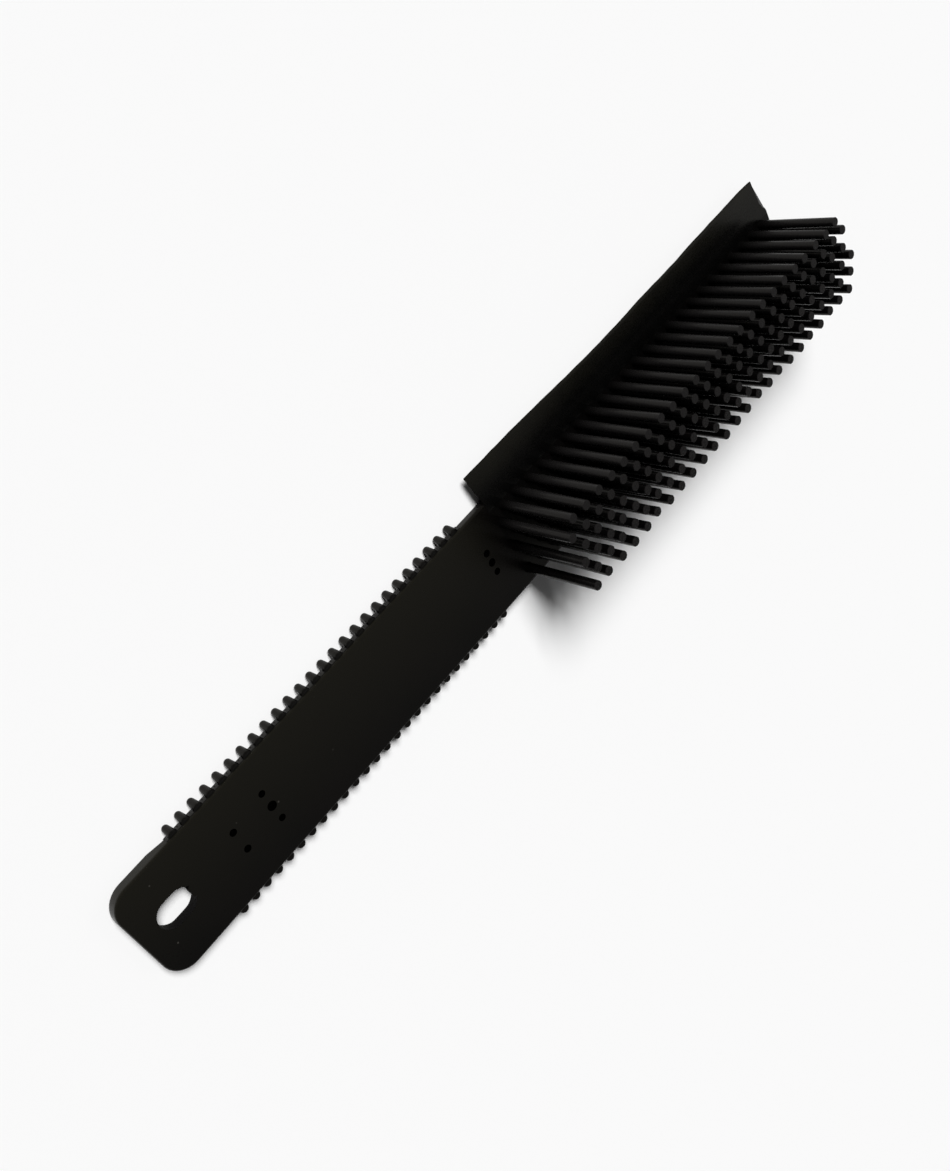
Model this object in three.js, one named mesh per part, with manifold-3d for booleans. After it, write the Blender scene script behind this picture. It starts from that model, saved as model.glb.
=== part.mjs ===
// A rubber pet hair removal brush: a flat strap handle with grip nubs along both edges, a head with six
// staggered rows of round rubber pins, and a squeegee lip along one side of the head. A steel strip stiffens
// the strap. Millimetres. X runs from the butt to the head, +Y is the lip's side and +Z is the way the pins
// point. While the pieces are made, x is 0 at the butt, y is 0 on the strap's centre line and z is 0 on the
// surface that the brush lies on.
import * as THREE from 'three';
import { mergeVertices } from 'three/addons/utils/BufferGeometryUtils.js';
import Module from 'manifold-3d';

const wasm = await Module();
wasm.setup();

// Strap: the handle and the head share one flat front face.
const handleLength = 126;
const handleWidth = 28;
const handleThickness = 2.6;
const buttThickness = 3.5;
const buttLength = 14;
const buttRampLength = 4;
const buttRadius = 6;
const headLength = 130;
const headThickness = 4;
const headCornerRadius = 2.5;
const neckRampLength = 6;

// Hang hole: an oblong through the butt, long side along the handle.
const hangHoleAt = 10.5;
const hangHoleLength = 10;
const hangHoleWidth = 7;

// Stiffening strip and the slot moulded around it.
const coreStart = 24;
const coreWidth = 16;
const coreThickness = 0.8;
const coreEndMargin = 6;
const coreClearance = 0.3;

// Support pits: small round holes through the front skin, down to the strip.
const largePitDiameter = 2;
const smallPitDiameter = 1.5;
const buttPitRowAt = 40.3;
const buttPitSpacing = 4.4;
const buttPitPairAt = 30;
const buttPitPairSpacing = 6;
const neckPitRowFromNeck = 5.2;
const neckPitSpacing = 3.1;

// Grip nubs: round pegs on a rail along each edge, as many as fit between the butt's end and the neck. They
// lean outwards and end on the surface that the brush lies on.
const nubPitch = 3.83;
const firstNubAt = 20.6;
const lastNubFromNeck = 9.6;
const nubDiameter = 2;
const nubOutreach = 1;
const nubDepthBelowFront = 0.4;
const nubRailWidth = 1.2;

// Pins: six rows along the head, every other one shifted by half a pitch, in pairs on slices of the pad.
const pinPitch = 5.2;
const pinRowSpacing = 3.9;
const firstPinFromNeck = 3.2;
const lastPinFromEnd = 1.9;
const pinDiameter = 2.6;
const pinReach = 24.7;
const pinEmbed = 0.4;
const pinSides = 6;
const pinLeanDegrees = 12;
const padThickness = 1;
const padMargin = 0.15;
const padEndMargin = 0.5;
const padWebWidth = 1.6;
const padWebEmbed = 0.3;

// Squeegee lip: a blade level with the head's face, with a round root, thinner towards its outer edge.
const lipStartFromNeck = 0.6;
const lipEndMargin = 0.3;
const lipReach = 22.6;
const lipRootThickness = 2;
const lipEdgeThickness = 0.8;

// Fits.
const seatClearance = 0.3;
const leanClearance = 0.05;

// Places that follow from the sizes above.
const overallLength = handleLength + headLength;
const frontLevel = headThickness;
const handleBack = frontLevel - handleThickness;
const buttBack = frontLevel - buttThickness;
const halfWidth = handleWidth / 2;
const nubRadius = nubDiameter / 2;
const pinRadius = pinDiameter / 2;
const coreLevel = handleBack + handleThickness / 2;
const coreEnd = overallLength - coreEndMargin;
const lipStart = handleLength + lipStartFromNeck;
const lipRootRadius = lipRootThickness / 2;
const lipAxisY = halfWidth + seatClearance;
const lipAxisZ = frontLevel - lipRootRadius;
const lipFloor = frontLevel - lipRootThickness;
const headLeftWall = lipAxisY - lipRootRadius - seatClearance;
const nubCount = 1 + Math.floor((handleLength - firstNubAt - lastNubFromNeck) / nubPitch);
const railStart = firstNubAt - nubPitch / 2;
const railEnd = railStart + nubCount * nubPitch;
const pinsInLongRow = 1 + Math.floor((headLength - firstPinFromNeck - lastPinFromEnd) / pinPitch);
const firstPinAt = handleLength + firstPinFromNeck;
const lastPinAt = firstPinAt + (pinsInLongRow - 1) * pinPitch;
const padStart = firstPinAt - pinRadius - padEndMargin;
const padEnd = lastPinAt + pinRadius + padEndMargin;

// A pair of rows leans about the middle of its slice, so the slice stands clear of the head by as much as
// its edge dips.
const pinLean = THREE.MathUtils.degToRad(pinLeanDegrees);
const padHalfWidth = pinRowSpacing / 2 + pinRadius + padMargin;
const padDip = padHalfWidth * Math.sin(pinLean) - (padThickness / 2) * (1 - Math.cos(pinLean));
const padGap = padDip + leanClearance;
const padBottom = frontLevel + padGap;
const padTop = padBottom + padThickness;
const pinTop = frontLevel + pinReach;

const rubber = (color, roughness) => new THREE.MeshStandardMaterial({ color, roughness, metalness: 0 });

// Boolean solids: a closed three.js geometry in, a manifold out, and back again.
function solid(geometry) {
  const bare = geometry.clone();
  bare.deleteAttribute('normal');
  bare.deleteAttribute('uv');
  const merged = mergeVertices(bare, 1e-4);
  const vertProperties = new Float32Array(merged.attributes.position.array);
  const triVerts = new Uint32Array(merged.index.array);
  return new wasm.Manifold(new wasm.Mesh({ numProp: 3, vertProperties, triVerts }));
}

function geometryOf(manifold) {
  const mesh = manifold.getMesh();
  const geometry = new THREE.BufferGeometry();
  geometry.setAttribute('position', new THREE.BufferAttribute(new Float32Array(mesh.vertProperties), 3));
  geometry.setIndex(new THREE.BufferAttribute(new Uint32Array(mesh.triVerts), 1));
  geometry.computeVertexNormals();
  return geometry;
}

// A box between two corners.
function block(x0, x1, y0, y1, z0, z1) {
  const geometry = new THREE.BoxGeometry(x1 - x0, y1 - y0, z1 - z0);
  geometry.translate((x0 + x1) / 2, (y0 + y1) / 2, (z0 + z1) / 2);
  return solid(geometry);
}

// A plan outline raised from one level to another.
function plate(shape, z0, z1, curveSegments = 6) {
  const geometry = new THREE.ExtrudeGeometry(shape, { depth: z1 - z0, bevelEnabled: false, curveSegments });
  geometry.translate(0, 0, z0);
  return solid(geometry);
}

// An upright round post.
function post(x, y, radius, z0, z1, sides) {
  const geometry = new THREE.CylinderGeometry(radius, radius, z1 - z0, sides);
  geometry.rotateX(Math.PI / 2);
  geometry.translate(x, y, (z0 + z1) / 2);
  return solid(geometry);
}

// The outline of the handle from above: round butt corners, and a step in each edge for the rail of nubs.
function handleOutline() {
  const stepStart = railStart - seatClearance;
  const stepEnd = railEnd + seatClearance;
  const inner = halfWidth - nubRailWidth - seatClearance;
  const shape = new THREE.Shape();
  shape.moveTo(handleLength, -halfWidth);
  shape.lineTo(handleLength, halfWidth);
  shape.lineTo(stepEnd, halfWidth);
  shape.lineTo(stepEnd, inner);
  shape.lineTo(stepStart, inner);
  shape.lineTo(stepStart, halfWidth);
  shape.lineTo(buttRadius, halfWidth);
  shape.absarc(buttRadius, halfWidth - buttRadius, buttRadius, Math.PI / 2, Math.PI, false);
  shape.absarc(buttRadius, buttRadius - halfWidth, buttRadius, Math.PI, 1.5 * Math.PI, false);
  shape.lineTo(stepStart, -halfWidth);
  shape.lineTo(stepStart, -inner);
  shape.lineTo(stepEnd, -inner);
  shape.lineTo(stepEnd, -halfWidth);
  shape.closePath();
  return shape;
}

// The oblong of the hang hole from above.
function hangHoleOutline() {
  const radius = hangHoleWidth / 2;
  const reach = hangHoleLength / 2 - radius;
  const shape = new THREE.Shape();
  shape.absarc(hangHoleAt + reach, 0, radius, -Math.PI / 2, Math.PI / 2, false);
  shape.absarc(hangHoleAt - reach, 0, radius, Math.PI / 2, 1.5 * Math.PI, false);
  shape.closePath();
  return shape;
}

// The slot that the strip lies in, open from the handle into the head.
function coreSlot() {
  const y = coreWidth / 2 + coreClearance;
  const half = coreThickness / 2 + coreClearance;
  const start = coreStart - coreClearance;
  const end = coreEnd + coreClearance;
  return block(start, end, -y, y, coreLevel - half, coreLevel + half);
}

// Stiffening strip.
function stiffenerCore() {
  const half = coreThickness / 2;
  return block(coreStart, coreEnd, -coreWidth / 2, coreWidth / 2, coreLevel - half, coreLevel + half);
}

// The butt's thicker end in side view, with a ramp up to the handle's back, as wide as the handle.
function buttBlock() {
  const side = new THREE.Shape();
  side.moveTo(0, buttBack);
  side.lineTo(buttLength, buttBack);
  side.lineTo(buttLength + buttRampLength, handleBack);
  side.lineTo(buttLength + buttRampLength, frontLevel);
  side.lineTo(0, frontLevel);
  side.closePath();
  const geometry = new THREE.ExtrudeGeometry(side, { depth: handleWidth, bevelEnabled: false });
  geometry.rotateX(Math.PI / 2);
  geometry.translate(0, halfWidth, 0);
  return solid(geometry).intersect(plate(handleOutline(), buttBack, frontLevel));
}

// Handle: a rubber sleeve around the strip, with the hang hole and the support pits.
function handleGrip() {
  const pastFace = 1;
  let grip = plate(handleOutline(), handleBack, frontLevel).add(buttBlock()).subtract(coreSlot());
  grip = grip.subtract(plate(hangHoleOutline(), buttBack - pastFace, frontLevel + pastFace));
  const neckPitRowAt = handleLength - neckPitRowFromNeck;
  const pits = [
    [buttPitRowAt, buttPitSpacing, smallPitDiameter],
    [buttPitRowAt, 0, largePitDiameter],
    [buttPitRowAt, -buttPitSpacing, smallPitDiameter],
    [buttPitPairAt, buttPitPairSpacing / 2, smallPitDiameter],
    [buttPitPairAt, -buttPitPairSpacing / 2, smallPitDiameter],
    [neckPitRowAt, neckPitSpacing, smallPitDiameter],
    [neckPitRowAt, 0, smallPitDiameter],
    [neckPitRowAt, -neckPitSpacing, smallPitDiameter],
  ];
  for (const [x, y, diameter] of pits) {
    grip = grip.subtract(post(x, y, diameter / 2, coreLevel, frontLevel + pastFace, 8));
  }
  return grip;
}

// One nub: a peg with a domed end, from just under the front edge outwards and down.
function nub(x, side) {
  const top = new THREE.Vector3(x, side * halfWidth, frontLevel - nubDepthBelowFront);
  const end = new THREE.Vector3(x, side * (halfWidth + nubOutreach), nubRadius);
  const length = top.distanceTo(end);
  const profile = [
    new THREE.Vector2(0, 0),
    new THREE.Vector2(nubRadius, 0),
    new THREE.Vector2(nubRadius, length),
    new THREE.Vector2(nubRadius * Math.SQRT1_2, length + nubRadius * Math.SQRT1_2),
    new THREE.Vector2(0, length + nubRadius),
  ];
  const geometry = new THREE.LatheGeometry(profile, 8);
  const along = end.clone().sub(top).normalize();
  geometry.applyQuaternion(new THREE.Quaternion().setFromUnitVectors(new THREE.Vector3(0, 1, 0), along));
  geometry.translate(top.x, top.y, top.z);
  return solid(geometry);
}

// Edge of the handle with its row of nubs. Nothing of a nub stands above the front face or behind the rail.
function gripNubs(side) {
  const inner = side * (halfWidth - nubRailWidth);
  const [y0, y1] = [inner, side * halfWidth].sort((a, b) => a - b);
  const [clip0, clip1] = [inner, side * (halfWidth + nubOutreach + nubDiameter)].sort((a, b) => a - b);
  let rail = block(railStart, railEnd, y0, y1, handleBack, frontLevel);
  for (let i = 0; i < nubCount; i += 1) {
    rail = rail.add(nub(firstNubAt + i * nubPitch, side));
  }
  return rail.intersect(block(railStart, railEnd, clip0, clip1, 0, frontLevel));
}

// Head: the block under the pins. Its back ramps up to the thinner handle, and a low web runs under each
// slice of the pad.
function headBacking() {
  const side = new THREE.Shape();
  side.moveTo(handleLength, handleBack);
  side.lineTo(handleLength + neckRampLength, 0);
  side.lineTo(overallLength, 0);
  side.lineTo(overallLength, frontLevel);
  side.lineTo(handleLength, frontLevel);
  side.closePath();
  const depth = headLeftWall + halfWidth;
  const geometry = new THREE.ExtrudeGeometry(side, { depth, bevelEnabled: false });
  geometry.rotateX(Math.PI / 2);
  geometry.translate(0, headLeftWall, 0);
  const r = headCornerRadius;
  const plan = new THREE.Shape();
  plan.moveTo(handleLength, -halfWidth);
  plan.lineTo(overallLength - r, -halfWidth);
  plan.absarc(overallLength - r, r - halfWidth, r, -Math.PI / 2, 0, false);
  plan.absarc(overallLength - r, headLeftWall - r, r, 0, Math.PI / 2, false);
  plan.lineTo(handleLength, headLeftWall);
  plan.closePath();
  let head = solid(geometry).intersect(plate(plan, 0, frontLevel)).subtract(coreSlot());
  const halfWeb = padWebWidth / 2;
  const webRoot = frontLevel - padWebEmbed;
  const webTop = padBottom - seatClearance;
  for (const pair of [1, 0, -1]) {
    const y = pair * 2 * pinRowSpacing;
    head = head.add(block(padStart, padEnd, y - halfWeb, y + halfWeb, webRoot, webTop));
  }
  return head;
}

// Two rows of pins on their slice. The row nearer the lip is the short one, half a pitch in from both ends.
// The long row of the pair furthest from the lip has no pin at the head's far corner.
function pinPair(pair, missingFromLongRow) {
  const y = pair * 2 * pinRowSpacing;
  let bank = block(padStart, padEnd, y - padHalfWidth, y + padHalfWidth, padBottom, padTop);
  for (let i = 0; i < pinsInLongRow - missingFromLongRow; i += 1) {
    const x = firstPinAt + i * pinPitch;
    bank = bank.add(post(x, y - pinRowSpacing / 2, pinRadius, padTop - pinEmbed, pinTop, pinSides));
  }
  for (let i = 0; i < pinsInLongRow - 1; i += 1) {
    const x = firstPinAt + (i + 0.5) * pinPitch;
    bank = bank.add(post(x, y + pinRowSpacing / 2, pinRadius, padTop - pinEmbed, pinTop, pinSides));
  }
  return bank;
}

// Lip: drawn across its section, y outwards and z up, then run along the head.
function squeegeeLip() {
  const section = new THREE.Shape();
  section.moveTo(lipAxisY, lipFloor);
  section.lineTo(lipReach, lipFloor);
  section.lineTo(lipReach, lipFloor + lipEdgeThickness);
  section.lineTo(lipAxisY, frontLevel);
  section.absarc(lipAxisY, lipAxisZ, lipRootRadius, Math.PI / 2, 1.5 * Math.PI, false);
  section.closePath();
  const depth = overallLength - lipEndMargin - lipStart;
  const geometry = new THREE.ExtrudeGeometry(section, { depth, bevelEnabled: false, curveSegments: 8 });
  geometry.applyMatrix4(new THREE.Matrix4().set(0, 0, 1, lipStart, 1, 0, 0, 0, 0, 1, 0, 0, 0, 0, 0, 1));
  return solid(geometry);
}

// The brush stands with its origin under the middle of its box.
const brush = new THREE.Group();
const rightmost = -(halfWidth + nubOutreach + nubRadius);
brush.position.set(-overallLength / 2, -(lipReach + rightmost) / 2, 0);

function piece(name, manifold, material) {
  const mesh = new THREE.Mesh(geometryOf(manifold), material);
  mesh.name = name;
  brush.add(mesh);
}

const steel = new THREE.MeshStandardMaterial({ color: 0x8d9094, roughness: 0.4, metalness: 1 });
piece('stiffener_core', stiffenerCore(), steel);
piece('handle_grip', handleGrip(), rubber(0x171614, 0.72));
piece('left_grip_nubs', gripNubs(1), rubber(0x171614, 0.7));
piece('right_grip_nubs', gripNubs(-1), rubber(0x171614, 0.7));
piece('head_backing', headBacking(), rubber(0x141312, 0.75));
piece('pins_left', pinPair(1, 0), rubber(0x1a1918, 0.6));
piece('pins_middle', pinPair(0, 0), rubber(0x1a1918, 0.6));
piece('pins_right', pinPair(-1, 1), rubber(0x1a1918, 0.6));
piece('squeegee_lip', squeegeeLip(), rubber(0x161514, 0.7));

export default brush;
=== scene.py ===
"""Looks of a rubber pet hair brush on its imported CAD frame: strap, grip nubs, pins and squeegee lip.

Metres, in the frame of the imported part: X runs from the butt to the head, +Y is the lip's side, and the
pins point along +Z.
"""
import math
import random

import bmesh
import bpy
from mathutils import Matrix, Vector


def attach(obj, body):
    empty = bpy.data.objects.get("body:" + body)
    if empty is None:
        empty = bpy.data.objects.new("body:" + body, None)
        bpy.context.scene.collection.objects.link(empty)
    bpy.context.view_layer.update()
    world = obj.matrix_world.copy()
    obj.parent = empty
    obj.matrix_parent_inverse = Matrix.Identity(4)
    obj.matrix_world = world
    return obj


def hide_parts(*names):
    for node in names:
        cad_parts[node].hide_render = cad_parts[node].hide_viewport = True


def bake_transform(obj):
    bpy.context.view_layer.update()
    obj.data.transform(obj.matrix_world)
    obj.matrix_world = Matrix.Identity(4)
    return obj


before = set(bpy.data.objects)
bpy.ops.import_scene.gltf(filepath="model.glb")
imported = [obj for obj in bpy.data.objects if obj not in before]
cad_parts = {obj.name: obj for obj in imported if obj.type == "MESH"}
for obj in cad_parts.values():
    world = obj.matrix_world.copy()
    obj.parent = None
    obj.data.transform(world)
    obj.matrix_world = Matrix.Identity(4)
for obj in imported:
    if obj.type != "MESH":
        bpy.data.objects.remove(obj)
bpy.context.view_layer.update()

# Stiffening strip
# A flat strip of cold rolled spring steel that the rubber is moulded around, from the butt's pits to near
# the end of the head. Its CAD solid has the right shape and is closed in on all sides, so only its finish
# is set here.
mm = 0.001
draw_line_length, draw_line_spacing = 30 * mm, 0.4 * mm


def linear(code):
    """Linear colour of an sRGB hex value."""
    parts = [int(code[i:i + 2], 16) / 255 for i in (1, 3, 5)]
    return [c / 12.92 if c <= 0.04045 else ((c + 0.055) / 1.055) ** 2.4 for c in parts] + [1.0]


def node(tree, kind, inputs=None, **settings):
    """Adds a node. Each input is a value, or another node's output to link."""
    made = tree.nodes.new(kind)
    for name, value in settings.items():
        setattr(made, name, value)
    for name, value in (inputs or {}).items():
        if isinstance(value, bpy.types.NodeSocket):
            tree.links.new(value, made.inputs[name])
        else:
            made.inputs[name].default_value = value
    return made


# Cold rolled spring steel: a grey metal with fine draw lines along the strip. In each mix of colours in
# this script, inputs 6 and 7 are the two colours and output 2 is the mix.
rolled_steel = bpy.data.materials.new("cold_rolled_spring_steel")
rolled_steel.use_nodes = True
tree = rolled_steel.node_tree
tree.nodes.clear()
place = node(tree, "ShaderNodeTexCoord").outputs["Object"]
along = node(tree, "ShaderNodeMapping",
             {"Vector": place,
              "Scale": (1 / draw_line_length, 1 / draw_line_spacing, 1 / draw_line_spacing)})
lines = node(tree, "ShaderNodeTexNoise", {"Vector": along.outputs[0], "Scale": 1.0, "Detail": 2.0})
tone = node(tree, "ShaderNodeMix",
            {"Factor": lines.outputs["Fac"], 6: linear("#66676a"), 7: linear("#808185")}, data_type="RGBA")
dull = node(tree, "ShaderNodeMapRange", {"Value": lines.outputs["Fac"], "To Min": 0.32, "To Max": 0.48})
steel = node(tree, "ShaderNodeBsdfPrincipled",
             {"Base Color": tone.outputs[2], "Roughness": dull.outputs[0], "Metallic": 1.0})
node(tree, "ShaderNodeOutputMaterial", {"Surface": steel.outputs[0]})
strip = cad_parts["stiffener_core"]
strip.data.materials.clear()
strip.data.materials.append(rolled_steel)

# Strap
# The flat body of the brush, moulded in black rubber in one shot around the strip: a handle of 2.6 mm that
# thickens to 3.5 mm at the butt and to 4 mm behind the pins, with an oblong hang hole and the pits of the
# mould's support pins.
butt, neck, head_end = -128 * mm, -2 * mm, 128 * mm
ramp_end = neck + 6 * mm
butt_ramp_start, butt_ramp_end = butt + 14 * mm, butt + 18 * mm
centre_line = -3.3 * mm
strap_half_width = 14 * mm
front, handle_back, butt_back = 4.0 * mm, 1.4 * mm, 0.5 * mm
butt_radius, head_corner_radius = 6 * mm, 2.5 * mm
strap_edge_radius, hole_edge_radius = 0.7 * mm, 0.2 * mm
sharp_edge, shaded_edge = math.radians(40), math.radians(50)
near = 0.01 * mm


def choose(kind, test):
    """Selects, in edit mode, the vertices, edges or faces that pass the test."""
    bpy.ops.mesh.select_mode(type=kind)
    bpy.ops.mesh.select_all(action="DESELECT")
    mesh = bmesh.from_edit_mesh(bpy.context.object.data)
    for part in {"VERT": mesh.verts, "EDGE": mesh.edges, "FACE": mesh.faces}[kind]:
        if test(part):
            part.select_set(True)
    mesh.select_flush_mode()
    bmesh.update_edit_mesh(bpy.context.object.data)


def upright(edge, x):
    """True for an upright edge at one end of the strap."""
    a, b = (v.co for v in edge.verts)
    return abs(a.x - x) < near and abs(b.x - x) < near and abs(a.z - b.z) > mm


def apply_modifier(piece, kind, **settings):
    """Adds a modifier to the piece and applies it."""
    bpy.context.view_layer.objects.active = piece
    made = piece.modifiers.new(kind, kind)
    for name, value in settings.items():
        setattr(made, name, value)
    bpy.ops.object.modifier_apply(modifier=made.name)


def cut_out(piece, cutter):
    """Cuts the cutter's shape out of the piece. The new faces take the cutter's material."""
    apply_modifier(piece, "BOOLEAN", object=cutter, operation="DIFFERENCE", solver="EXACT",
                   material_mode="TRANSFER")
    bpy.data.objects.remove(cutter)


bpy.ops.object.select_all(action="DESELECT")
bpy.ops.mesh.primitive_cube_add(size=1, location=(0, centre_line, front / 2),
                                scale=(head_end - butt, 2 * strap_half_width, front))
strap = bpy.context.object
strap.name = "strap_rubber"
bpy.ops.object.transform_apply(location=True, rotation=True, scale=True)
bpy.ops.object.mode_set(mode="EDIT")
for x in (butt_ramp_start, butt_ramp_end, neck, ramp_end):
    bpy.ops.mesh.select_all(action="SELECT")
    bpy.ops.mesh.bisect(plane_co=(x, 0, 0), plane_no=(1, 0, 0))
choose("VERT", lambda v: v.co.z < near and butt_ramp_end - near < v.co.x < neck + near)
bpy.ops.transform.translate(value=(0, 0, handle_back))
choose("VERT", lambda v: v.co.z < near and v.co.x < butt_ramp_start + near)
bpy.ops.transform.translate(value=(0, 0, butt_back))
choose("EDGE", lambda e: upright(e, butt))
bpy.ops.mesh.bevel(offset=butt_radius, segments=10, affect="EDGES")
choose("EDGE", lambda e: upright(e, head_end))
bpy.ops.mesh.bevel(offset=head_corner_radius, segments=6, affect="EDGES")
bpy.ops.object.mode_set(mode="OBJECT")
apply_modifier(strap, "BEVEL", width=strap_edge_radius, segments=4, limit_method="ANGLE",
               angle_limit=sharp_edge, use_clamp_overlap=True)

# Black bonding primer, as on the strip: matte and very dark. It lines the walls and floor of each pit, as
# painted shade in the pit.
brush_mark = 0.5 * mm
pit_shade_primer = bpy.data.materials.new("black_primer_as_pit_shade")
pit_shade_primer.use_nodes = True
tree = pit_shade_primer.node_tree
tree.nodes.clear()
place = node(tree, "ShaderNodeTexCoord").outputs["Object"]
brushed = node(tree, "ShaderNodeTexNoise", {"Vector": place, "Scale": 1 / brush_mark, "Detail": 2.0})
tone = node(tree, "ShaderNodeMix",
            {"Factor": brushed.outputs["Fac"], 6: linear("#000000"), 7: linear("#020202")},
            data_type="RGBA")
film = node(tree, "ShaderNodeBsdfPrincipled",
            {"Base Color": tone.outputs[2], "Roughness": 0.85, "Specular IOR Level": 0.02})
node(tree, "ShaderNodeOutputMaterial", {"Surface": film.outputs[0]})


def moulded_rubber(name, black, bloom, roughness, specular):
    """Matte moulded rubber: carbon black under cloudy patches of thin grey bloom, with the tool's grain.

    Returns the material, its tree, the place on the piece, the colour and the shader.
    """
    # The real grain of the blasted tool is about 0.1 mm, and is drawn at 0.45 mm so that it shows.
    cloud_size, grain_size, grain_depth, grain_dulling = 16 * mm, 0.45 * mm, 0.05 * mm, 0.07
    material = bpy.data.materials.new(name)
    material.use_nodes = True
    made = material.node_tree
    made.nodes.clear()
    spot = node(made, "ShaderNodeTexCoord").outputs["Object"]
    cloud = node(made, "ShaderNodeTexNoise",
                 {"Vector": spot, "Scale": 1 / cloud_size, "Detail": 4.0, "Roughness": 0.6})
    patch = node(made, "ShaderNodeMapRange",
                 {"Value": cloud.outputs["Fac"], "From Min": 0.35, "From Max": 0.7})
    grain = node(made, "ShaderNodeTexNoise", {"Vector": spot, "Scale": 1 / grain_size, "Detail": 2.0})
    colour = node(made, "ShaderNodeMix",
                  {"Factor": patch.outputs[0], 6: linear(black), 7: linear(bloom)}, data_type="RGBA")
    dull = node(made, "ShaderNodeMapRange",
                {"Value": grain.outputs["Fac"], "From Min": 0.3, "From Max": 0.7,
                 "To Min": roughness - grain_dulling, "To Max": roughness + grain_dulling})
    bump = node(made, "ShaderNodeBump",
                {"Height": grain.outputs["Fac"], "Strength": 0.35, "Distance": grain_depth})
    shader = node(made, "ShaderNodeBsdfPrincipled",
                  {"Base Color": colour.outputs[2], "Roughness": dull.outputs[0], "Normal": bump.outputs[0],
                   "IOR": 1.52, "Specular IOR Level": specular, "Specular Tint": linear("#fffaee")})
    node(made, "ShaderNodeOutputMaterial", {"Surface": shader.outputs[0]})
    return material, made, spot, colour.outputs[2], shader


# Strap rubber: matte, a shade browner than pure black. The handle is painted paler towards the lip's side,
# as painted light from that side, and there is a little pale dust on the butt, a speck in half of the
# cells.
lit_side_from, lit_side_full = centre_line - 12 * mm, centre_line + 13 * mm
lit_handle_end, lit_handle_full = butt + 128 * mm, butt + 118 * mm
dust_end, dust_full = butt + 66 * mm, butt + 16 * mm
dust_cell, speck_radius, speck_core = 4.5 * mm, 0.32 * mm, 0.128 * mm
strap_rubber, tree, place, colour, shader = moulded_rubber(
    "matte_moulded_rubber", "#020202", "#050404", roughness=0.31, specular=0.18)
axes = node(tree, "ShaderNodeSeparateXYZ", {"Vector": place})
# Painted light: the handle is paler towards the lip's side, fading out before the neck.
lip_side = node(tree, "ShaderNodeMapRange",
                {"Value": axes.outputs["Y"], "From Min": lit_side_from, "From Max": lit_side_full})
on_handle = node(tree, "ShaderNodeMapRange",
                 {"Value": axes.outputs["X"], "From Min": lit_handle_end, "From Max": lit_handle_full})
painted_light_mask = node(tree, "ShaderNodeMath",
               {0: lip_side.outputs[0], 1: on_handle.outputs[0]}, operation="MULTIPLY")
painted_shading = node(tree, "ShaderNodeMix",
              {"Factor": painted_light_mask.outputs[0], 6: colour, 7: linear("#11100c")}, data_type="RGBA")
cells = node(tree, "ShaderNodeTexVoronoi", {"Vector": place, "Scale": 1 / dust_cell})
speck = node(tree, "ShaderNodeMapRange",
             {"Value": cells.outputs["Distance"], "From Min": speck_radius / dust_cell,
              "From Max": speck_core / dust_cell})
chance = node(tree, "ShaderNodeSeparateColor", {"Color": cells.outputs["Color"]})
chosen = node(tree, "ShaderNodeMath", {0: chance.outputs[0], 1: 0.5}, operation="GREATER_THAN")
at_butt = node(tree, "ShaderNodeMapRange",
               {"Value": axes.outputs["X"], "From Min": dust_end, "From Max": dust_full})
specks = node(tree, "ShaderNodeMath", {0: speck.outputs[0], 1: chosen.outputs[0]}, operation="MULTIPLY")
dust = node(tree, "ShaderNodeMath", {0: specks.outputs[0], 1: at_butt.outputs[0]}, operation="MULTIPLY")
dusty = node(tree, "ShaderNodeMix",
             {"Factor": dust.outputs[0], 6: painted_shading.outputs[2], 7: linear("#4a4743")}, data_type="RGBA")
tree.links.new(dusty.outputs[2], shader.inputs["Base Color"])
strap.data.materials.append(strap_rubber)
strap.data.materials.append(pit_shade_primer)

# Hang hole: an oblong of 10 by 7.2 mm that widens towards the back, with a ragged tab of flash left on its
# inner end and a small nick beside the tab.
hole_at, hole_across = butt + 10.5 * mm, centre_line + 0.4 * mm
hole_length, hole_width = 10 * mm, 7.2 * mm
punch_length, punch_middle = 6 * mm, front - 1.5 * mm
draft_along, draft_across = 1.06, 1.2
tab_from, tab_low, tab_high, tab_reach = 4.1 * mm, -1.6 * mm, 1.2 * mm, 0.7 * mm
nick_from, nick_high, nick_along, nick_across = 3.6 * mm, 1.9 * mm, 0.35 * mm, 0.1 * mm
bpy.ops.object.select_all(action="DESELECT")
bpy.ops.mesh.primitive_cylinder_add(vertices=40, radius=hole_width / 2, depth=punch_length,
                                    location=(hole_at, hole_across, punch_middle))
hole = bpy.context.object
bpy.ops.object.transform_apply(location=True, rotation=True, scale=True)
bpy.ops.object.mode_set(mode="EDIT")
for way in (1, -1):
    choose("VERT", lambda v: way * (v.co.x - hole_at) > near)
    bpy.ops.transform.translate(value=(way * (hole_length - hole_width) / 2, 0, 0))
choose("VERT", lambda v: tab_from < v.co.x - hole_at and tab_low < v.co.y - hole_across < tab_high)
bpy.ops.transform.translate(value=(-tab_reach, 0, 0))
choose("VERT", lambda v: nick_from < v.co.x - hole_at and tab_high < v.co.y - hole_across < nick_high)
bpy.ops.transform.translate(value=(nick_along, nick_across, 0))
choose("VERT", lambda v: v.co.z < punch_middle)
bpy.ops.transform.resize(value=(draft_along, draft_across, 1), center_override=(hole_at, hole_across, 0))
bpy.ops.object.mode_set(mode="OBJECT")

# Punched rubber: the hole's wall, torn dull by the punch.
punched_rubber = moulded_rubber("punched_rubber", "#050404", "#0b0a0a", roughness=0.75, specular=0.06)[0]
hole.data.materials.append(punched_rubber)
cut_out(strap, hole)
apply_modifier(strap, "BEVEL", width=hole_edge_radius, segments=3, limit_method="ANGLE",
               angle_limit=sharp_edge, use_clamp_overlap=True)

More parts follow.
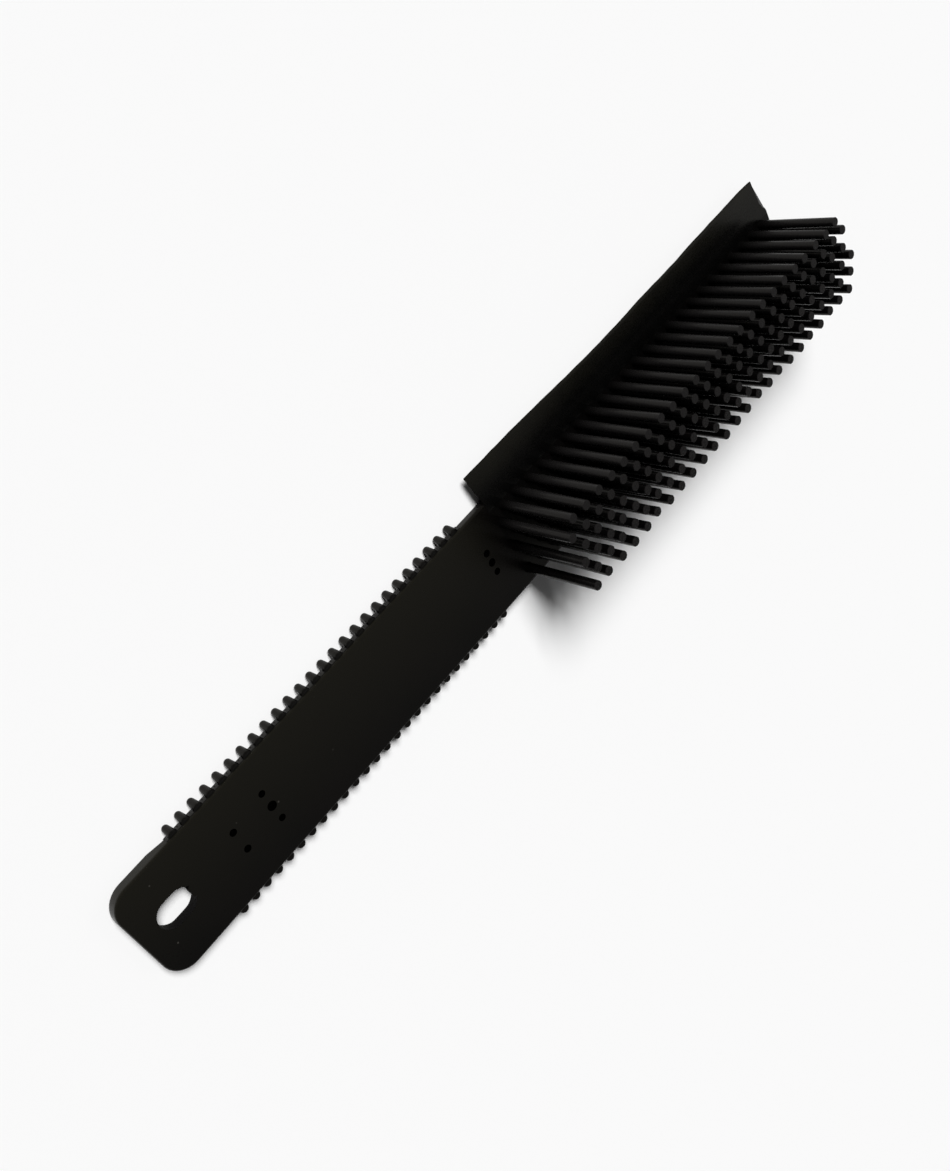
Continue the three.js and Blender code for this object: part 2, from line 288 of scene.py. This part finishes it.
# Pits: where pins of the mould held the strip, five near the butt and three near the neck, down to the
# strip. Each has its place from the butt, its place across and its width, in millimetres.
pit_floor, pit_cutter_top = 3.15 * mm, front + mm
pits = [(40.3, 4.4, 1.8), (40.3, 0, 2.5), (40.3, -4.4, 1.8), (30, 3, 1.9), (30, -3, 1.9),
        (120.8, 3.1, 2.0), (120.8, 0, 2.2), (120.8, -3.1, 1.9)]
for from_butt, across, wide in pits:
    bpy.ops.object.select_all(action="DESELECT")
    bpy.ops.mesh.primitive_cylinder_add(
        vertices=18, radius=wide / 2 * mm, depth=pit_cutter_top - pit_floor,
        location=(butt + from_butt * mm, centre_line + across * mm, (pit_cutter_top + pit_floor) / 2))
    bpy.ops.object.transform_apply(location=True, rotation=True, scale=True)
    pit = bpy.context.object
    # Painted shade: the primer lines the pit's walls and floor.
    pit.data.materials.append(pit_shade_primer)
    cut_out(strap, pit)
bpy.ops.object.select_all(action="DESELECT")
strap.select_set(True)
bpy.context.view_layer.objects.active = strap
bpy.ops.object.shade_smooth_by_angle(angle=shaded_edge)
apply_modifier(strap, "WEIGHTED_NORMAL", keep_sharp=True, weight=100)
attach(strap, "strap")
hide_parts("handle_grip", "head_backing")

# Grip nubs
# A row of 26 round pegs along each long edge of the handle, moulded in one with the strap. Each leans
# outwards from just under the front edge and ends in a dome near the level of the head's back, and a low
# bead joins their roots.
nub_pitch, nub_count, first_nub = 3.83 * mm, 26, butt + 20.6 * mm
nub_radius, nub_tip_radius, nub_outreach = 1.3 * mm, 0.85 * mm, 1.0 * mm
nub_top, nub_end = front - 0.5 * mm, 1.05 * mm
nub_lean = math.atan2(nub_outreach, nub_top - nub_end)
peg_length = math.hypot(nub_outreach, nub_top - nub_end) + nub_tip_radius
dome_bevel, root_bevel = 0.9 * nub_tip_radius, 0.4 * nub_radius
bead_length, bead_deep, bead_proud = 2.4 * nub_pitch, 0.6 * mm, 0.1 * mm
bead_low, bead_high = handle_back + 0.15 * mm, front - 0.45 * mm
fusing_voxel, faces_kept, shaded_crease = 0.12 * mm, 0.14, math.radians(55)
bpy.ops.object.select_all(action="DESELECT")
bpy.ops.mesh.primitive_cube_add(
    size=1, location=(0, (bead_proud - bead_deep) / 2, (bead_low + bead_high) / 2),
    scale=(bead_length, bead_deep + bead_proud, bead_high - bead_low))
bead = bpy.context.object
bpy.ops.object.transform_apply(location=True, rotation=True, scale=True)
peg_way = Vector((0, math.sin(nub_lean), -math.cos(nub_lean)))
peg_middle = Vector((0, 0, nub_top)) + peg_way * (peg_length / 2)
peg_end = peg_middle + peg_way * (peg_length / 2)
bpy.ops.object.select_all(action="DESELECT")
bpy.ops.mesh.primitive_cylinder_add(vertices=24, radius=nub_radius, depth=peg_length, location=peg_middle,
                                    rotation=(nub_lean, 0, 0))
peg = bpy.context.object
bpy.ops.object.transform_apply(location=True, rotation=True, scale=True)
bpy.ops.object.mode_set(mode="EDIT")
choose("FACE", lambda f: f.normal.dot(peg_way) > 0.9)
bpy.ops.transform.resize(value=[nub_tip_radius / nub_radius] * 3, center_override=peg_end)
bpy.ops.mesh.bevel(offset=dome_bevel, segments=5, affect="EDGES")
choose("FACE", lambda f: f.normal.dot(peg_way) < -0.9)
bpy.ops.mesh.bevel(offset=root_bevel, segments=3, affect="EDGES")
bpy.ops.object.mode_set(mode="OBJECT")


def join(pieces, name):
    """Joins pieces to one object that sits at the origin."""
    bpy.ops.object.select_all(action="DESELECT")
    for piece in pieces:
        piece.select_set(True)
    bpy.context.view_layer.objects.active = pieces[0]
    bpy.ops.object.join()
    whole = bpy.context.object
    whole.name = whole.data.name = name
    bpy.ops.object.transform_apply(location=True, rotation=True, scale=True)
    return whole


def copy_at(piece, place):
    """A copy of the piece with its own mesh, set at a place."""
    twin = piece.copy()
    twin.data = piece.data.copy()
    twin.matrix_world = place
    bpy.context.collection.objects.link(twin)
    return twin


# The bead and the peg are fused, cut to one pitch and thinned out.
nub = join([bead, peg], "grip_nub")
apply_modifier(nub, "REMESH", mode="VOXEL", voxel_size=fusing_voxel)
apply_modifier(nub, "SMOOTH", factor=0.5, iterations=5)
bpy.ops.object.mode_set(mode="EDIT")
for way in (1, -1):
    bpy.ops.mesh.select_all(action="SELECT")
    bpy.ops.mesh.bisect(plane_co=(way * nub_pitch / 2, 0, 0), plane_no=(way, 0, 0), use_fill=True,
                        clear_outer=True)
bpy.ops.mesh.select_all(action="SELECT")
bpy.ops.mesh.quads_convert_to_tris()
bpy.ops.mesh.normals_make_consistent(inside=False)
bpy.ops.object.mode_set(mode="OBJECT")
apply_modifier(nub, "DECIMATE", ratio=faces_kept)
bpy.ops.object.select_all(action="DESELECT")
nub.select_set(True)
bpy.ops.object.shade_smooth_by_angle(angle=shaded_crease)

# Nub rubber: the strap's rubber, duller on the pegs because the mould's small pockets can't be polished.
nub_rubber = moulded_rubber("dull_moulded_rubber", "#030303", "#060505", roughness=0.38, specular=0.21)[0]
nub.data.materials.append(nub_rubber)
for name, wall, turn in (("left", centre_line + strap_half_width, 0.0),
                         ("right", centre_line - strap_half_width, math.pi)):
    facing = Matrix.Rotation(turn, 4, "Z")
    row = [copy_at(nub, Matrix.Translation((first_nub + i * nub_pitch, wall, 0)) @ facing)
           for i in range(nub_count)]
    nubs = join(row, name + "_nub_row")
    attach(nubs, "strap")
    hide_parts(name + "_grip_nubs")
bpy.data.objects.remove(nub)

# Pins
# Six staggered rows of soft round rubber pins, 24.7 mm tall, moulded in one with the head, which lift hair
# off cloth. They bend from their roots, where each pin has extra rings, and each pair of rows makes one
# bank.
pin_pitch, row_spacing, pin_radius = 5.2 * mm, 3.9 * mm, 1.3 * mm
first_pin, long_row = butt + 129.2 * mm, 25
pin_top, pin_root, fillet_top = 28.65 * mm, front - 0.25 * mm, front + 0.35 * mm
root_swell, fillet_swell, rim_bevel = 1.2, 1.06, 0.08 * mm
bend_start, bend_end = front - 0.2 * mm, front + 11 * mm
bend_rings = [front + height * mm for height in (1, 3, 5.5, 8)] + [bend_end]
root_shade_top, rubbed_from = front + 6.5 * mm, pin_top - 0.3 * mm
bpy.ops.object.select_all(action="DESELECT")
bpy.ops.mesh.primitive_cylinder_add(vertices=10, radius=pin_radius, depth=pin_top - pin_root,
                                    location=(0, 0, (pin_top + pin_root) / 2))
pin = bpy.context.object
bpy.ops.object.transform_apply(location=True, rotation=True, scale=True)
bpy.ops.object.mode_set(mode="EDIT")
for height in (fillet_top, *bend_rings, rubbed_from):
    bpy.ops.mesh.select_all(action="SELECT")
    bpy.ops.mesh.bisect(plane_co=(0, 0, height), plane_no=(0, 0, 1))
for height, swell in ((pin_root, root_swell), (fillet_top, fillet_swell)):
    choose("VERT", lambda v: abs(v.co.z - height) < near)
    bpy.ops.transform.resize(value=(swell, swell, 1))
choose("FACE", lambda f: f.normal.z > 0.9)
bpy.ops.mesh.bevel(offset=rim_bevel, segments=1, affect="EDGES")
choose("FACE", lambda f: f.normal.z < -0.9)
bpy.ops.mesh.delete(type="FACE")
bpy.ops.object.mode_set(mode="OBJECT")
bpy.ops.object.shade_smooth_by_angle(angle=sharp_edge)

# Pin rubber: the same black rubber, smoother from the drilled mould. It is painted paler above its dark
# roots, which is painted shade, and most on the flat ends, which are rubbed dusty.
pin_rubber, tree, _, colour, shader = moulded_rubber(
    "satin_moulded_rubber", "#030303", "#050404", roughness=0.26, specular=0.095)
# Painted light and shade: paler up the pin and on the row next to the lip, darker at the roots.
painted_shading = node(tree, "ShaderNodeAttribute", attribute_name="painted_shading")
shaded_colour = node(tree, "ShaderNodeMix",
              {"Factor": painted_shading.outputs["Fac"], 6: colour, 7: linear("#141313")}, data_type="RGBA")
rubbed = node(tree, "ShaderNodeAttribute", attribute_name="rubbed")
paler = node(tree, "ShaderNodeMix",
             {"Factor": rubbed.outputs["Fac"], 6: shaded_colour.outputs[2], 7: linear("#191818")},
             data_type="RGBA")
tree.links.new(paler.outputs[2], shader.inputs["Base Color"])
pin.data.materials.append(pin_rubber)

# The painted shading and the wear are kept on the points of the pin, so that they stay in place as the pin
# bends. The row next to the lip is painted palest, as painted light from the lip's side, which the inner
# rows shade from one another, and so are pins that stand free at the neck. Rows are counted from the lip.
lit_share_by_row = (1.0, 0.35, 0.12, 0.1, 0.1, 0.1)
lit_share_at_neck = (1.0, 1.0, 0.12, 0.6, 0.1, 0.3)
painted_shading = pin.data.attributes.new("painted_shading", "FLOAT", "POINT")
rubbed = pin.data.attributes.new("rubbed", "FLOAT", "POINT")
for corner, shading_value, rub in zip(pin.data.vertices, painted_shading.data, rubbed.data):
    # Painted shade: darkest at the root, paler up to a few millimetres above the face.
    shading_value.value = min(1.0, max(0.0, (corner.co.z - front) / (root_shade_top - front)))
    rub.value = float(corner.co.z > rubbed_from + near)

# No two pins stand quite alike: each leans by a fraction of a degree. The last row has no pin at the far
# corner.
stray, stray_lean = random.Random(7), 0.5
for name, pair, missing in (("left", 1, 0), ("middle", 0, 0), ("right", -1, 1)):
    middle = centre_line + pair * 2 * row_spacing
    places = [(first_pin + i * pin_pitch, middle - row_spacing / 2) for i in range(long_row - missing)]
    places += [(first_pin + (i + 0.5) * pin_pitch, middle + row_spacing / 2) for i in range(long_row - 1)]
    bank = []
    for x, y in places:
        lean = Matrix.Rotation(math.radians(stray.gauss(0, stray_lean)), 4, "X")
        lean = lean @ Matrix.Rotation(math.radians(stray.gauss(0, stray_lean)), 4, "Y")
        turned = Matrix.Rotation(stray.uniform(0, math.tau), 4, "Z")
        foot = Matrix.Translation((x, y, front))
        bank.append(copy_at(pin, foot @ lean @ Matrix.Translation((0, 0, -front)) @ turned))
        row = round((centre_line + 2.5 * row_spacing - y) / row_spacing)
        # Painted light: the row next to the lip and the free pins at the neck are paler, inner rows darker.
        share = lit_share_at_neck[row] if x < first_pin + pin_pitch else lit_share_by_row[row]
        for shading_value in bank[-1].data.attributes["painted_shading"].data:
            shading_value.value *= share
    pins = join(bank, name + "_pin_rows")
    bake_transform(pins)
    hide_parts("pins_" + name)
bpy.data.objects.remove(pin)

# Squeegee lip
# A rubber blade that runs on level from the head's face, droops a little and thins to its edge. The edge
# was trimmed by hand, so it waves and its ends are ragged.
lip_start, lip_end = butt + 126.4 * mm, head_end
lip_root, lip_edge = centre_line + 14 * mm, centre_line + 22.6 * mm

# The section is drawn in millimetres across from the centre line and up from the table.
lip_face, droop, droop_from, droop_ease = 4.04, 0.152, 13.2, 1.3
edge_thickness, taper, taper_to = 0.45, 0.22, 22.3
inner_wall, inner_top, inner_bottom = 10.95, 3.6, 1.7


def blade_top(y):
    """Height of the blade's face: level at the root, then drooping evenly to the edge."""
    past = max(0.0, y - droop_from)
    return lip_face - droop * past * past / (past + droop_ease)


def blade_under(y):
    """Height of the blade's underside: the blade thickens evenly from its edge to its root."""
    return blade_top(y) - edge_thickness - taper * (taper_to - y)


face_places = (11.25, 12.2, 13.2, 13.9, 14.6, 15.3, 16, 16.8, 18, 19.2, 20.4, 21.4, 22.3)
under_places = (22.2, 21, 19, 17, 15.5, 14.4, 13.6)
section = [(inner_wall, inner_top), (11, 3.98)]
section += [(y, blade_top(y)) for y in face_places]
section += [(22.55, 2.7), (22.6, 2.6), (22.5, 2.48)]
section += [(y, blade_under(y)) for y in under_places]
section += [(inner_wall, inner_bottom)]
bpy.ops.object.select_all(action="DESELECT")
bpy.ops.mesh.primitive_circle_add(vertices=len(section), radius=mm, fill_type="NGON", location=(0, 0, 0))
lip = bpy.context.object
lip.name = lip.data.name = "squeegee_blade"
for corner, (y, z) in zip(lip.data.vertices, section):
    corner.co = (lip_start, centre_line + y * mm, z * mm)

# The section is drawn out along the head, in fine steps at the ends, where the blade is trimmed.
fine_step, coarse_step = 0.4, 2.43
lip_steps = [fine_step] * 8 + [coarse_step] * 50 + [fine_step] * 8
step_length = (lip_end - lip_start) / sum(lip_steps)
bpy.ops.object.mode_set(mode="EDIT")
bpy.ops.mesh.select_all(action="SELECT")
for step in lip_steps:
    bpy.ops.mesh.extrude_region_move(TRANSFORM_OT_translate={"value": (step * step_length, 0, 0)})
bpy.ops.mesh.select_all(action="SELECT")
bpy.ops.mesh.normals_make_consistent(inside=False)
bpy.ops.object.mode_set(mode="OBJECT")


def between(stations, place):
    """Eases a value between stations, given as pairs of place and value."""
    for (p0, v0), (p1, v1) in zip(stations, stations[1:]):
        if place <= p1:
            t = min(1.0, max(0.0, (place - p0) / (p1 - p0)))
            return v0 + (v1 - v0) * t * t * (3 - 2 * t)
    return stations[-1][1]


# Trimming, in millimetres: how far the edge is drawn in and raised along the head, from the butt, and how
# far each end is cut back across the blade, from the centre line. The knife also left small waves, each
# with a height, a length for one radian and a start.
drawn_in = [(126.4, 0.0), (140, 0.0), (152, 0.23), (160, 0.23), (168, 0.46), (176, 0.76), (192, 0.72),
            (200, 0.46), (216, 0.5), (224, 0.2), (236, 0.0), (248, 0.0), (256, 0.45)]
raised = [(126.4, 0.0), (145, 0.1), (168, 0.9), (240, 0.9), (256, 0.5)]
ragged_start = [(14.0, 0.7), (16.4, 0.51), (17.2, 0.5), (18.0, 0.3), (19.5, 0.32), (20.4, 0.12),
                (21.2, 0.2), (22.6, 0.0)]
ragged_end = [(10.2, 0.4), (11.9, 0.6), (13.2, 1.3), (14.0, 1.7), (14.8, 2.4), (15.8, 2.0), (17.5, 2.15),
              (19.4, 2.0), (20.7, 2.1), (22.6, 1.95)]
knife_waves = [(0.07, 3.1, 0.0), (0.05, 1.7, 1.0)]
trim_length, undercut = 3.2 * mm, 0.75
free_from, free_width = 15, 7.6
for v in lip.data.vertices:
    x, y = (v.co.x - butt) / mm, (v.co.y - centre_line) / mm
    share = min(1.0, max(0.0, (y - free_from) / free_width))
    near_start = max(0.0, 1 - (v.co.x - lip_start) / trim_length)
    near_end = max(0.0, 1 - (lip_end - v.co.x) / trim_length)
    wave = sum(height * math.sin(x / length + start) for height, length, start in knife_waves)
    under = max(0.0, blade_top(y) - v.co.z / mm)
    start_cut = between(ragged_start, y) + undercut * under
    v.co.x += (start_cut * near_start - between(ragged_end, y) * near_end) * mm
    v.co.y -= share * (between(drawn_in, x) + abs(wave)) * mm
    v.co.z += share * between(raised, x) * mm
bpy.ops.object.select_all(action="DESELECT")
lip.select_set(True)
bpy.context.view_layer.objects.active = lip
bpy.ops.object.shade_smooth_by_angle(angle=shaded_edge)

# Lip rubber: the same rubber, with smears of dust, paler towards its working edge and darker near its root:
# painted shade from the pins.
smear_size, paler_from = 5 * mm, lip_root + 2 * mm
lip_rubber, tree, place, colour, shader = moulded_rubber(
    "trimmed_moulded_rubber", "#020202", "#040404", roughness=0.3, specular=0.28)
axes = node(tree, "ShaderNodeSeparateXYZ", {"Vector": place})
# Painted shade: darker near the root, where the pins shade the blade; the dust smears grow towards the
# edge.
to_edge = node(tree, "ShaderNodeMapRange",
               {"Value": axes.outputs["Y"], "From Min": paler_from, "From Max": lip_edge, "To Max": 0.75})
smear = node(tree, "ShaderNodeTexNoise", {"Vector": place, "Scale": 1 / smear_size, "Detail": 3.0})
smear_and_light = node(tree, "ShaderNodeMath", {0: to_edge.outputs[0], 1: smear.outputs["Fac"]}, operation="MULTIPLY")
paler = node(tree, "ShaderNodeMix",
             {"Factor": smear_and_light.outputs[0], 6: colour, 7: linear("#15140d")}, data_type="RGBA")
tree.links.new(paler.outputs[2], shader.inputs["Base Color"])
lip.data.materials.append(lip_rubber)
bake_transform(lip)
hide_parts("squeegee_lip")

# Floor
# A plain white table top, painted matte, which keeps the object's soft shadow. It lies a hair under the
# brush, so that the two don't share a plane.
floor_size, floor_level = 6, -0.02 * mm
bpy.ops.object.select_all(action="DESELECT")
bpy.ops.mesh.primitive_plane_add(size=floor_size, location=(0, 0, floor_level))
floor = bpy.context.object
floor.name = "floor"
table = bpy.data.materials.new("white_table")
table.use_nodes = True
tree = table.node_tree
tree.nodes.clear()
paint = node(tree, "ShaderNodeBsdfDiffuse", {"Color": linear("#fcfcfc")})
node(tree, "ShaderNodeOutputMaterial", {"Surface": paint.outputs[0]})
floor.data.materials.append(table)

# Light
# A soft key light from the lip's side, even all over the table, which it makes just white. It is kept out
# of reflections, as a polarising filter does. The rubber mirrors a dim grey studio, and a softbox past the
# far end of the head.
key_way, softbox_way, lamp_distance = (0.0, 0.7, 0.714), (0.72, -0.2, 0.66), 2.5
key_data = bpy.data.lights.new("key_light", "SUN")
key_data.energy, key_data.angle = 4.05, 0.42
softbox_data = bpy.data.lights.new("far_end_softbox", "AREA")
softbox_data.shape, softbox_data.size, softbox_data.energy = "DISK", 1.4, 0.95
for lamp_data, way in ((key_data, key_way), (softbox_data, softbox_way)):
    lamp = bpy.data.objects.new(lamp_data.name, lamp_data)
    bpy.context.collection.objects.link(lamp)
    lamp.location = Vector(way).normalized() * lamp_distance
    lamp.rotation_euler = Vector(way).to_track_quat("Z", "Y").to_euler()
    lamp.visible_glossy = lamp_data == softbox_data
room = bpy.data.worlds.new("dim_studio")
bpy.context.scene.world = room
room.use_nodes = True
tree = room.node_tree
tree.nodes.clear()
rays = node(tree, "ShaderNodeLightPath")
dim = node(tree, "ShaderNodeBackground", {"Color": (1, 1, 1, 1), "Strength": 0.05})
mirrored = node(tree, "ShaderNodeBackground", {"Color": (1, 1, 1, 1), "Strength": 0.27})
white = node(tree, "ShaderNodeBackground", {"Color": (1, 1, 1, 1), "Strength": 1.0})
on_object = node(tree, "ShaderNodeMixShader",
                 {0: rays.outputs["Is Glossy Ray"], 1: dim.outputs[0], 2: mirrored.outputs[0]})
seen = node(tree, "ShaderNodeMixShader",
            {0: rays.outputs["Is Camera Ray"], 1: on_object.outputs[0], 2: white.outputs[0]})
node(tree, "ShaderNodeOutputWorld", {"Surface": seen.outputs[0]})
bpy.context.scene.view_settings.view_transform = "Standard"

# Camera
# The photograph's view, from over the lip's side of the butt. Its place, turn and lens were fitted to the
# pins, nubs and edges.
eye = (-131.1 * mm, 171.9 * mm, 231.8 * mm)
right, up, back = (0.621, -0.4339, 0.6527), (0.6883, 0.7002, -0.1894), (-0.3749, 0.5669, 0.7335)
camera_data = bpy.data.cameras.new("photo_camera")
camera_data.lens, camera_data.sensor_width = 38.55, 36.0
camera_data.clip_start = 10 * mm
camera = bpy.data.objects.new("photo_camera", camera_data)
bpy.context.collection.objects.link(camera)
camera.matrix_world = Matrix.Translation(eye) @ Matrix((right, up, back)).transposed().to_4x4()
bpy.context.scene.camera = camera
